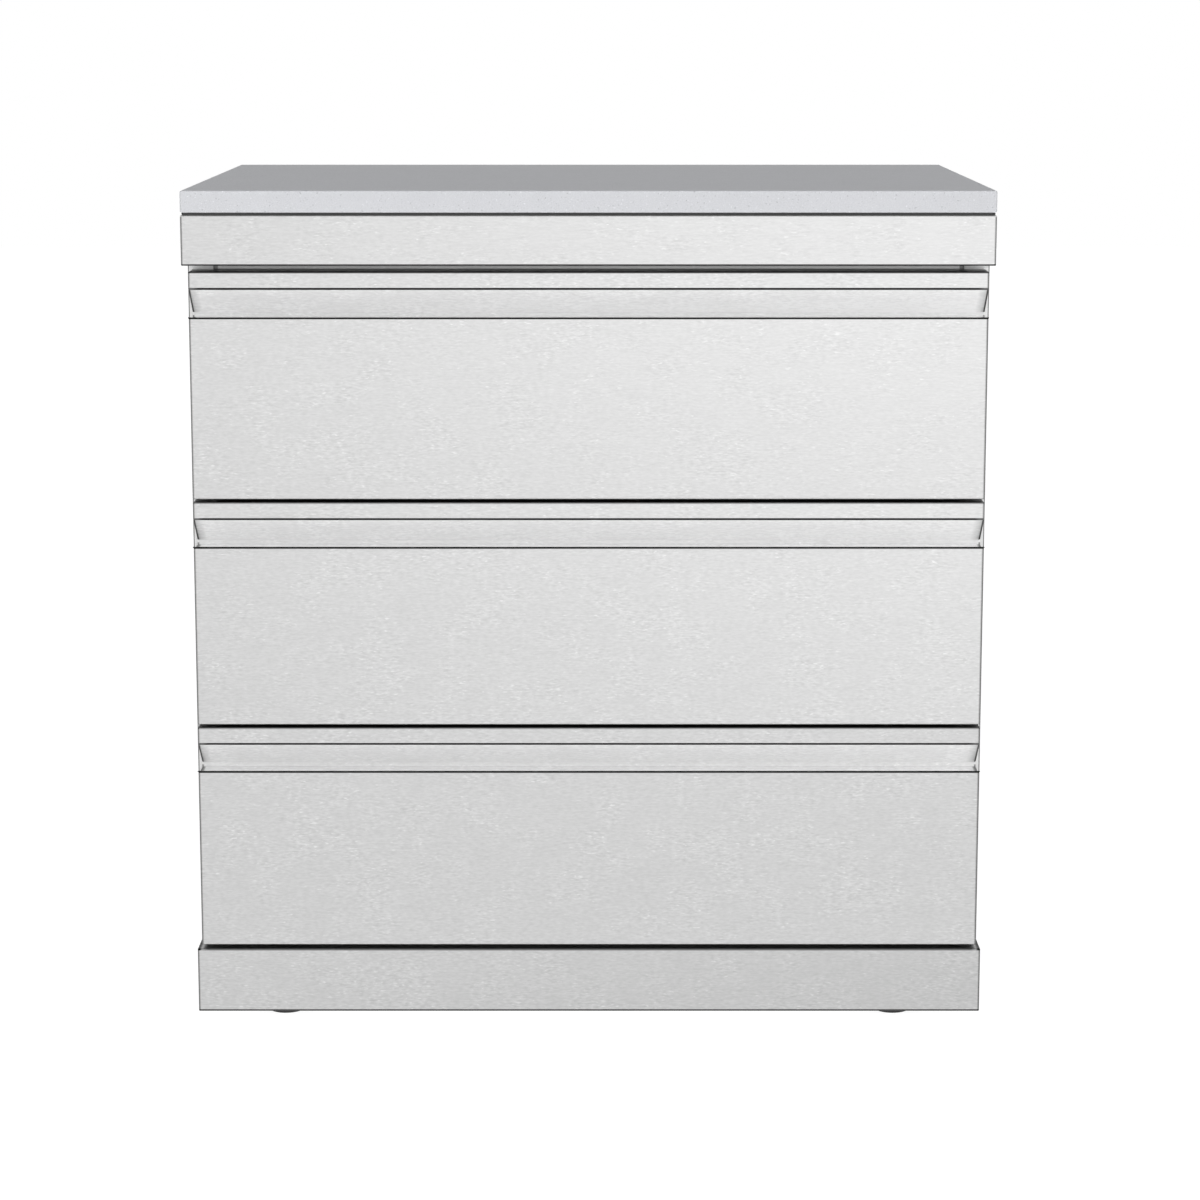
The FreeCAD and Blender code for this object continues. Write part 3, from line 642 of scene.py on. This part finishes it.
def topRail():
    # C-shaped cross rail, open to the back: top flange, a face cut back at its ends, and a lower lip
    values = railSkin
    low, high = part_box("top_rail_front")
    fold = sheetMetal["fold"]
    front, bottom, top = low.y, low.z, high.z
    upper = top - values["notchMargin"]
    lower = bottom + values["notchMargin"]
    shade = bottom + values["shaded"]
    shadeEnd = shade - values["shadeStep"]
    full = stations(low.x, high.x, 0, caps=False)
    cut = stations(low.x + values["notch"], high.x - values["notch"], 0, caps=False)
    darker, paler = values["faceTones"]
    lines = [
        (foldedLine([(front + values["flange"], top), (front, top), (front, upper)], [0, fold, 0]), full),
        (foldedLine([(front, upper), (front, shade)], [0, 0], runs={0: (1.0, paler)}), cut),
        (foldedLine([(front, shade), (front, shadeEnd)], [0, 0], runs={0: (paler, darker)}), cut),
        (foldedLine([(front, shadeEnd), (front, lower)], [0, 0], runs={0: (darker, darker)}), cut),
        (foldedLine([(front, lower), (front, bottom), (front + values["lip"], bottom)], [0, fold, 0],
                    {1: darker}, {0: (darker, darker)}), full),
    ]
    # a sheet behind each notch, which the node doesn't have, in painted shade
    behind = front + values["notchDepth"]
    paintedLight = (values["notchPaintedShade"], values["notchPaintedShade"])
    backing = values["backing"] * values["notch"]
    for ends in ((low.x, low.x + backing), (high.x - backing, high.x)):
        lines.append((foldedLine([(behind, upper), (behind, lower)], [0, 0], runs={0: paintedLight}),
                      stations(*ends, 0, caps=False)))
    surface = joined([carried(line, along, 0, caps=False) for line, along in lines])
    return meshObject("topRail", facedOut(surface), paintedLightSteel, "cabinet", ["top_rail_front"],
                      sheetMetal["thick"])


slab = {
    "edge": 1.8 * mm,           # rounding of the upper edges and of both ends
    "lowerEdge": 0.15 * mm,
}


def slabTop():
    # A rectangle with rounded corners, carried across the unit and rounded at both ends
    low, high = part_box("countertop_slab")
    edge = slab["edge"]
    lower = slab["lowerEdge"]
    corners = [(low.y, low.z), (high.y, low.z), (high.y, high.z), (low.y, high.z)]
    line = foldedLine(corners, [lower, lower, edge, edge], closed=True)
    along = stations(low.x, high.x, edge)
    return meshObject("worktopSlab", facedOut(carried(line, along, 0)), slabFinish, "cabinet",
                      ["countertop_slab"])


seal = {
    "bulge": 1.5 * mm,          # how far the outer side swells
    "corner": 3 * mm,
    "width": 12 * mm,           # from the outer side inward
    "steps": 9,                 # points up the swollen side
}


def sealRing():
    # Gasket squeezed between slab and carcass: its outer side swells by the bulge times the root of a half
    # wave over its height, carried round a rectangle with rounded corners
    values = seal
    low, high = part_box("slab_seal")
    path = foldedLine([(low.x, low.y), (high.x, low.y), (high.x, high.y), (low.x, high.y)],
                      [values["corner"]] * 4, closed=True)
    share = np.linspace(0, 1, values["steps"])
    swell = values["bulge"] * np.sqrt(np.sin(math.pi * share).clip(0))
    out = np.concatenate([swell, [-values["width"]] * 2])
    up = np.concatenate([low.z + (high.z - low.z) * share, [high.z, low.z]])
    flat = path["points"][:, None, :] + out[None, :, None] * path["normals"][:, None, :]
    rows, columns = flat.shape[:2]
    points = np.concatenate([flat, np.broadcast_to(up[None, :, None], (rows, columns, 1))], axis=2)
    quads = gridQuads(rows, columns, roundRows=True, roundColumns=True)
    surface = (points.reshape(-1, 3), quads, [], np.ones(rows * columns))
    return meshObject("sealBead", facedOut(surface), rubberFinish, "cabinet", ["slab_seal"])


crossBand("fasciaBand", "fascia_front", fasciaSkin)
crossBand("plinthBand", "plinth_front", plinthSkin)
topRail()
slabTop()
sealRing()
print("bands, rail and slab made")


# sides

sideSkin = {
    "frontFold": 1.08 * mm,
    "folds": {1: 0.3, 2: 0.6},         # painted shade of the front and the back fold
    "frontReturn": {0: (1.35, 1.35)},  # and painted light on the return that shows beside the grips
}
plinthReturn = {
    "width": 16 * mm,              # of the lower flange
    "folds": {1: 0.6, 2: 0.5},     # painted shade of the upper and the lower fold
}


def sidePanel(name, sign):
    # Plan of the outer sheet: front return, side, back return, carried up the whole carcass
    low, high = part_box(f"side_panel_{name}")
    skin = high.x if sign > 0 else low.x
    edge = low.x if sign > 0 else high.x
    corners = [(edge, low.y), (skin, low.y), (skin, high.y), (edge, high.y)]
    radii = [0, sideSkin["frontFold"], sheetMetal["fold"], 0]
    sheet = openSheet(corners, radii, low.z, high.z, 2, sideSkin["folds"], sideSkin["frontReturn"])
    return meshObject(f"sideSkin.{name}", sheet, paintedLightSteel, "cabinet", [f"side_panel_{name}"],
                      sheetMetal["thick"])


def plinthSide(name, sign):
    # Section of the plinth's side: wide top flange, face and narrow bottom flange
    low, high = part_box(f"plinth_{name}")
    skin = high.x if sign > 0 else low.x
    wide = low.x if sign > 0 else high.x
    narrow = skin - sign * plinthReturn["width"]
    corners = [(wide, high.z), (skin, high.z), (skin, low.z), (narrow, low.z)]
    sheet = openSheet(corners, channelRadii, low.y, high.y, 1, plinthReturn["folds"])
    return meshObject(f"plinthSkin.{name}", sheet, paintedLightSteel, "cabinet", [f"plinth_{name}"],
                      sheetMetal["thick"])


for name, sign in sideSigns.items():
    sidePanel(name, sign)
    plinthSide(name, sign)
print("sides made")


# feet

foot = {
    "rim": 7 * mm,            # height of the upright rim
    "neck": 11 * mm,          # radius and height of the collar round the stem
    "collar": 4.5 * mm,
    "seat": 5.2 * mm,         # floor of the bore that the stem stands in
    "centre": 0.4 * mm,       # radius of the small flat faces in the middle
    # rounding of each corner of the outline, from the sole up and down the bore
    "radii": (0, 0.7 * mm, 1.2 * mm, 1.5 * mm, 0.8 * mm, 0.2 * mm, 0.2 * mm, 0),
    "padTurns": 64,           # points round the pad
    "pitch": 1.5 * mm,        # rise of the thread in one turn
    "threadDepth": 0.6 * mm,
    "chamfer": 0.4 * mm,      # length of the stem's turned-down ends
    "chamferShare": 1.3,      # and their depth in thread depths
    "stemTurns": 24,          # points round the stem
    "rowsInPitch": 8,         # and along it, in one rise of the thread
}


def footPad(place):
    # Turned outline: sole, rim, cone, collar and the bore for the stem
    values = foot
    low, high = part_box(f"foot_pad_{place}")
    radius = (high.x - low.x) / 2
    height = high.z - low.z
    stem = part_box(f"foot_stem_{place}")
    bore = (stem[1].x - stem[0].x) / 2
    neck, seat, middle = values["neck"], values["seat"], values["centre"]
    corners = [(middle, 0), (radius, 0), (radius, values["rim"]), (neck, height - values["collar"]),
               (neck, height), (bore, height), (bore, seat), (middle, seat)]
    outline = foldedLine(corners, values["radii"])["points"]
    centre = ((low.x + high.x) / 2, (low.y + high.y) / 2, low.z)
    pad = lathe(outline, centre, values["padTurns"])
    return meshObject(f"footSole.{place}", pad, plasticFinish, f"foot_{place}",
                      [f"foot_pad_{place}"])


def footStem(place):
    # Threaded rod: the radius falls by the thread depth with the distance of height over pitch, less the
    # share of the turn, from the nearest whole number
    values = foot
    low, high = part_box(f"foot_stem_{place}")
    radius = (high.x - low.x) / 2
    rows = int((high.z - low.z) / values["pitch"] * values["rowsInPitch"])
    angle = np.linspace(0, 2 * math.pi, values["stemTurns"], endpoint=False)
    height = np.linspace(low.z, high.z, rows)
    phase = height[:, None] / values["pitch"] - angle[None] / (2 * math.pi)
    crest = 2 * np.abs(phase - np.round(phase))
    near = np.minimum(height - low.z, high.z - height)[:, None] < values["chamfer"]
    reach = radius - values["threadDepth"] * np.where(near, values["chamferShare"], 1 - crest)
    middle = (low + high) / 2
    points = np.stack([middle.x + reach * np.cos(angle), middle.y + reach * np.sin(angle),
                       np.broadcast_to(height[:, None], reach.shape)], axis=-1)
    return meshObject(f"footThread.{place}", rings(points), zincFinish, f"foot_{place}",
                      [f"foot_stem_{place}"])


for place in ("front_left", "front_right", "back_left", "back_right"):
    footPad(place)
    footStem(place)
print("feet made")


# inner sheets of the cabinet

def sideLiner(name, sign):
    # Plan of the inner sheet: both flanges point to the outer one
    node = f"side_liner_{name}"
    low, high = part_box(node)
    face, tip = (low.x, high.x) if sign > 0 else (high.x, low.x)
    corners = [(tip, low.y), (face, low.y), (face, high.y), (tip, high.y)]
    sheet = openSheet(corners, channelRadii, low.z, high.z, 2)
    return meshObject(f"liner.{name}", sheet, innerFinish, "cabinet", [node],
                      sheetMetal["thick"])


def bottomPanel():
    # Section from front to back: an upturned edge, the floor and another upturned edge
    low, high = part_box("bottom_panel")
    corners = [(low.y, high.z), (low.y, low.z), (high.y, low.z), (high.y, high.z)]
    sheet = openSheet(corners, channelRadii, low.x, high.x, 0)
    return meshObject("floorSheet", sheet, innerFinish, "cabinet", ["bottom_panel"],
                      sheetMetal["thick"])


sheetRound = 0.35 * mm     # edge rounding of a plain sheet
sheetWall = 1.2 * mm


def backPanel():
    # The rear sheet and the flange at its top
    low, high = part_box("back_panel")
    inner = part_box("bottom_panel")
    sheet = block((low.x, high.y - sheetWall, low.z), high, 0, sheetRound)
    flange = block((inner[0].x, low.y, high.z - sheetWall), (inner[1].x, high.y - sheetWall, high.z), 0,
                   sheetRound)
    return meshObject("rearSheet", joined([sheet, flange]), paintedLightSteel, "cabinet", ["back_panel"])


for name, sign in sideSigns.items():
    sideLiner(name, sign)
bottomPanel()
backPanel()
print("inner sheets made")


# drawer boxes

drawerBox = {
    "hem": 8 * mm,            # width of the top hem
    "flangeGap": 3.6 * mm,    # height left free above and below the front flange
}


def boxSide(number, name, sign):
    # Section of the side: top hem, side and bottom ledge; a flange at its front end takes the screws
    node = f"drawer_side_{name}_{number}"
    low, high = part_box(node)
    skin, ledge = (high.x, low.x) if sign > 0 else (low.x, high.x)
    corners = [(skin - sign * drawerBox["hem"], high.z), (skin, high.z), (skin, low.z), (ledge, low.z)]
    sheet = openSheet(corners, channelRadii, low.y, high.y, 1)
    meshObject(f"boxSide{number}.{name}", sheet, innerFinish, f"drawer_{number}", [node],
               sheetMetal["thick"])
    ends = sorted([skin - sign * sheetWall, ledge])
    gap = drawerBox["flangeGap"]
    flange = block((ends[0], low.y, low.z + gap), (ends[1], low.y + sheetWall, high.z - gap), 2, sheetRound)
    meshObject(f"boxFlange{number}.{name}", flange, innerFinish, f"drawer_{number}")


def boxSheet(number, part, name):
    # A plain sheet as large as its node
    node = f"drawer_{part}_{number}"
    sheet = block(*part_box(node), 0, sheetRound)
    return meshObject(f"{name}{number}", sheet, innerFinish, f"drawer_{number}", [node])


for number in drawerNumbers:
    for name, sign in sideSigns.items():
        boxSide(number, name, sign)
    boxSheet(number, "base", "boxBase")
    boxSheet(number, "back", "boxBack")
    boxSheet(number, "plate", "frontPlate")
print("drawer boxes made")


# slides

slide = {
    "fold": 2.0 * mm,         # outer radius of a channel's folds
    # of each member: width from web to flange tips, which side the web lies on, the body that it rides
    "outer": (9.6 * mm, True, "cabinet"),
    "middle": (7.4 * mm, True, "slide_carriage_{}"),
    "inner": (8.1 * mm, False, "drawer_{}"),
}


def slideMember(number, kind):
    # A left and a right channel: flange, web and flange, carried along the slide
    reach, webOutside, body = slide[kind]
    node = f"slide_{kind}_{number}"
    low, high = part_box(node)
    radii = [0, slide["fold"], slide["fold"], 0]
    channels = []
    for sign in sideSigns.values():
        ends = [sign * high.x, sign * (high.x - reach)]
        web, tip = ends if webOutside else ends[::-1]
        corners = [(tip, low.z), (web, low.z), (web, high.z), (tip, high.z)]
        channels.append(openSheet(corners, radii, low.y, high.y, 1))
    return meshObject(f"{kind}Slide{number}", joined(channels), zincFinish, body.format(number),
                      [node], sheetMetal["thick"])


for number in drawerNumbers:
    for kind in ("outer", "middle", "inner"):
        slideMember(number, kind)
print("slides made")


# screws and bumpers

screw = {
    "head": 4 * mm,           # radius and height of the head
    "cap": 2.2 * mm,
    "shank": 2 * mm,          # its radius
    "socket": 1.7 * mm,       # mean radius of the socket
    "socketDepth": 1.2 * mm,
    "lobes": 0.12,            # share by which the socket's radius varies
    "lobeReach": 0.3 * mm,    # how far round the socket the head still follows it
    "centre": 0.3 * mm,       # radius of the small flat faces in the middle
    # rounding of each corner of the outline, from the shank's tip to the floor of the socket
    "radii": (0, 0.5 * mm, 0.15 * mm, 0.2 * mm, 1.3 * mm, 0.2 * mm, 0.2 * mm, 0),
    "turns": 36,
}
bumper = {
    "radius": 4 * mm,
    "taper": 0.5 * mm,        # by which the front's radius is smaller
    "fromEdge": 25 * mm,      # from a drawer front's upper and lower edge
    "centre": 0.3 * mm,
    "radii": (0, 0.2 * mm, 0.9 * mm, 0),       # rounding of each corner, from the back to the front
    "turns": 36,
}


def panScrew(centre, length):
    # Shank, domed head and a six-lobed socket, turned about Y; the head points back
    values = screw
    cap, head, shank, socket = values["cap"], values["head"], values["shank"], values["socket"]
    middle = values["centre"]
    floor = cap - values["socketDepth"]
    corners = [(middle, -length), (shank, -length), (shank, 0), (head, 0), (head, cap), (socket, cap),
               (socket, floor), (middle, floor)]
    outline = foldedLine(corners, values["radii"])["points"]
    inSocket = (outline[:, 0] < socket + values["lobeReach"]) & (outline[:, 1] > floor / 2)
    lobes = np.where(inSocket, values["lobes"], 0)
    return lathe(outline, centre, values["turns"], axis=1, lobes=lobes)


def screwGroup(name, node, body, count):
    # An upright row of screws at each side
    low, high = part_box(node)
    seat = high.y - screw["cap"]
    heights = np.linspace(low.z + screw["head"], high.z - screw["head"], count)
    places = [(sign * (high.x - screw["head"]), seat, up) for sign in sideSigns.values() for up in heights]
    surface = joined([panScrew(place, seat - low.y) for place in places])
    return meshObject(name, surface, zincFinish, body, [node])


def bumpers():
    # Tapered buttons turned about Y, near the four corners of each front
    values = bumper
    low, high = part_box("drawer_bumpers")
    height = high.y - low.y
    radius, middle = values["radius"], values["centre"]
    corners = [(middle, 0), (radius, 0), (radius - values["taper"], height), (middle, height)]
    outline = foldedLine(corners, values["radii"])["points"]
    buttons = []
    for number in drawerNumbers:
        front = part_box(f"drawer_front_{number}")
        for up in (front[0].z + values["fromEdge"], front[1].z - values["fromEdge"]):
            for sign in sideSigns.values():
                place = (sign * (high.x - radius), high.y, up)
                buttons.append(lathe(outline, place, values["turns"], axis=1, sign=-1))
    return meshObject("bumperButtons", joined(buttons), rubberFinish, "cabinet",
                      ["drawer_bumpers"])


for number in drawerNumbers:
    screwGroup(f"boxScrews{number}", f"drawer_screws_{number}", f"drawer_{number}", count=3)
screwGroup("rearScrews", "carcass_screws", "cabinet", count=5)
bumpers()
print("screws and bumpers made")


# floor, light and camera

studio = {
    "floorSize": 24.0,
    "floorColour": 0.82,
    "seenLight": 0.86,        # share of plain white that a seen floor gives by itself
    "seenShade": 0.36,        # and the share of its lit colour, which keeps the shadow
    "ambient": 0.285,         # even light of the surroundings on matt surfaces
    "frontal": 3.3,           # and the light added straight from the front
    "keyPower": 43.0,
    "keySize": (6.0, 1.6),
    "keyPlace": (1.8, -5.2, 0.9),
    "keyTarget": (1.8, 0.0, 0.9),
    "fillPower": 16.0,
    "fillSize": (2.0, 2.0),
    "fillPlace": (-3.0, -3.0, 0.5),
    "fillTarget": (0.0, 0.0, 0.45),
    "lens": 100,              # millimetres, before a sensor 36 wide
    "cameraPlace": (0.0122, -3.851, 1.1008),
    "cameraTilt": 80,         # degrees up from looking straight down
}


def makeWorld():
    # Plain white where it is seen. On matt surfaces it is an even light plus one that grows with the square
    # of how far a direction points to the front.
    world = bpy.data.worlds.new("studio")
    bpy.context.scene.world = world
    paint = Paint(world)
    direction = paint.add("ShaderNodeTexCoord", {}, {}, "Generated")
    forward = paint.add("ShaderNodeSeparateXYZ", {}, {0: direction}, "Y")
    facing = forward.worked("MAXIMUM", forward * -1, 0)
    strength = studio["ambient"] + facing * facing * studio["frontal"]
    dim = paint.add("ShaderNodeBackground", {}, {"Strength": strength})
    white = paint.add("ShaderNodeBackground", {}, {"Color": grey(1.0), "Strength": 1.0})
    mix = paint.add("ShaderNodeMixShader", {}, {0: paint.seen(), 1: dim, 2: white})
    paint.add("ShaderNodeOutputWorld", {}, {"Surface": mix})
    world.cycles.sampling_method = "NONE"


def makeFloor():
    # A pale floor that takes the shadow. Where it is seen it glows nearly white by itself.
    half = studio["floorSize"] / 2
    mesh = bpy.data.meshes.new("studioFloor")
    corners = [(-half, -half, 0), (half, -half, 0), (half, half, 0), (-half, half, 0)]
    mesh.from_pydata(corners, [], [(0, 1, 2, 3)])
    paint = newPaint("studioFloor")
    lit = paint.add("ShaderNodeBsdfDiffuse", {}, {"Color": grey(studio["floorColour"])})
    faint = paint.add("ShaderNodeBsdfDiffuse", {}, {"Color": grey(studio["seenShade"])})
    glow = paint.add("ShaderNodeEmission", {}, {"Color": grey(1.0), "Strength": studio["seenLight"]})
    shown = paint.add("ShaderNodeAddShader", {}, {0: faint, 1: glow})
    mix = paint.add("ShaderNodeMixShader", {}, {0: paint.seen(), 1: lit, 2: shown})
    paint.add("ShaderNodeOutputMaterial", {}, {"Surface": mix})
    paint.owner.cycles.emission_sampling = "NONE"
    mesh.materials.append(paint.owner)
    floor = bpy.data.objects.new("studioFloor", mesh)
    bpy.context.scene.collection.objects.link(floor)


def softLamp(name, place, target, power, size):
    # An elliptic lamp, turned until its own -Z points at the target
    light = bpy.data.lights.new(name, "AREA")
    light.energy = power
    light.shape = "ELLIPSE"
    light.size, light.size_y = size
    lamp = bpy.data.objects.new(name, light)
    bpy.context.scene.collection.objects.link(lamp)
    lamp.location = place
    direction = np.array(target) - np.array(place)
    level = math.hypot(direction[0], direction[1])
    lamp.rotation_euler = (math.atan2(level, -direction[2]), 0, math.atan2(-direction[0], direction[1]))


def makeCamera():
    # Ten degrees down, nearly four metres away, as the photograph was taken
    lens = bpy.data.cameras.new("camera")
    lens.lens = studio["lens"]
    lens.sensor_width = 36
    camera = bpy.data.objects.new("camera", lens)
    bpy.context.scene.collection.objects.link(camera)
    camera.location = studio["cameraPlace"]
    camera.rotation_euler = (math.radians(studio["cameraTilt"]), 0, 0)
    bpy.context.scene.camera = camera


makeWorld()
makeFloor()
for name in ("key", "fill"):
    softLamp(name, *(studio[name + word] for word in ("Place", "Target", "Power", "Size")))
makeCamera()
bpy.context.scene.view_settings.view_transform = "Standard"
print("studio made")
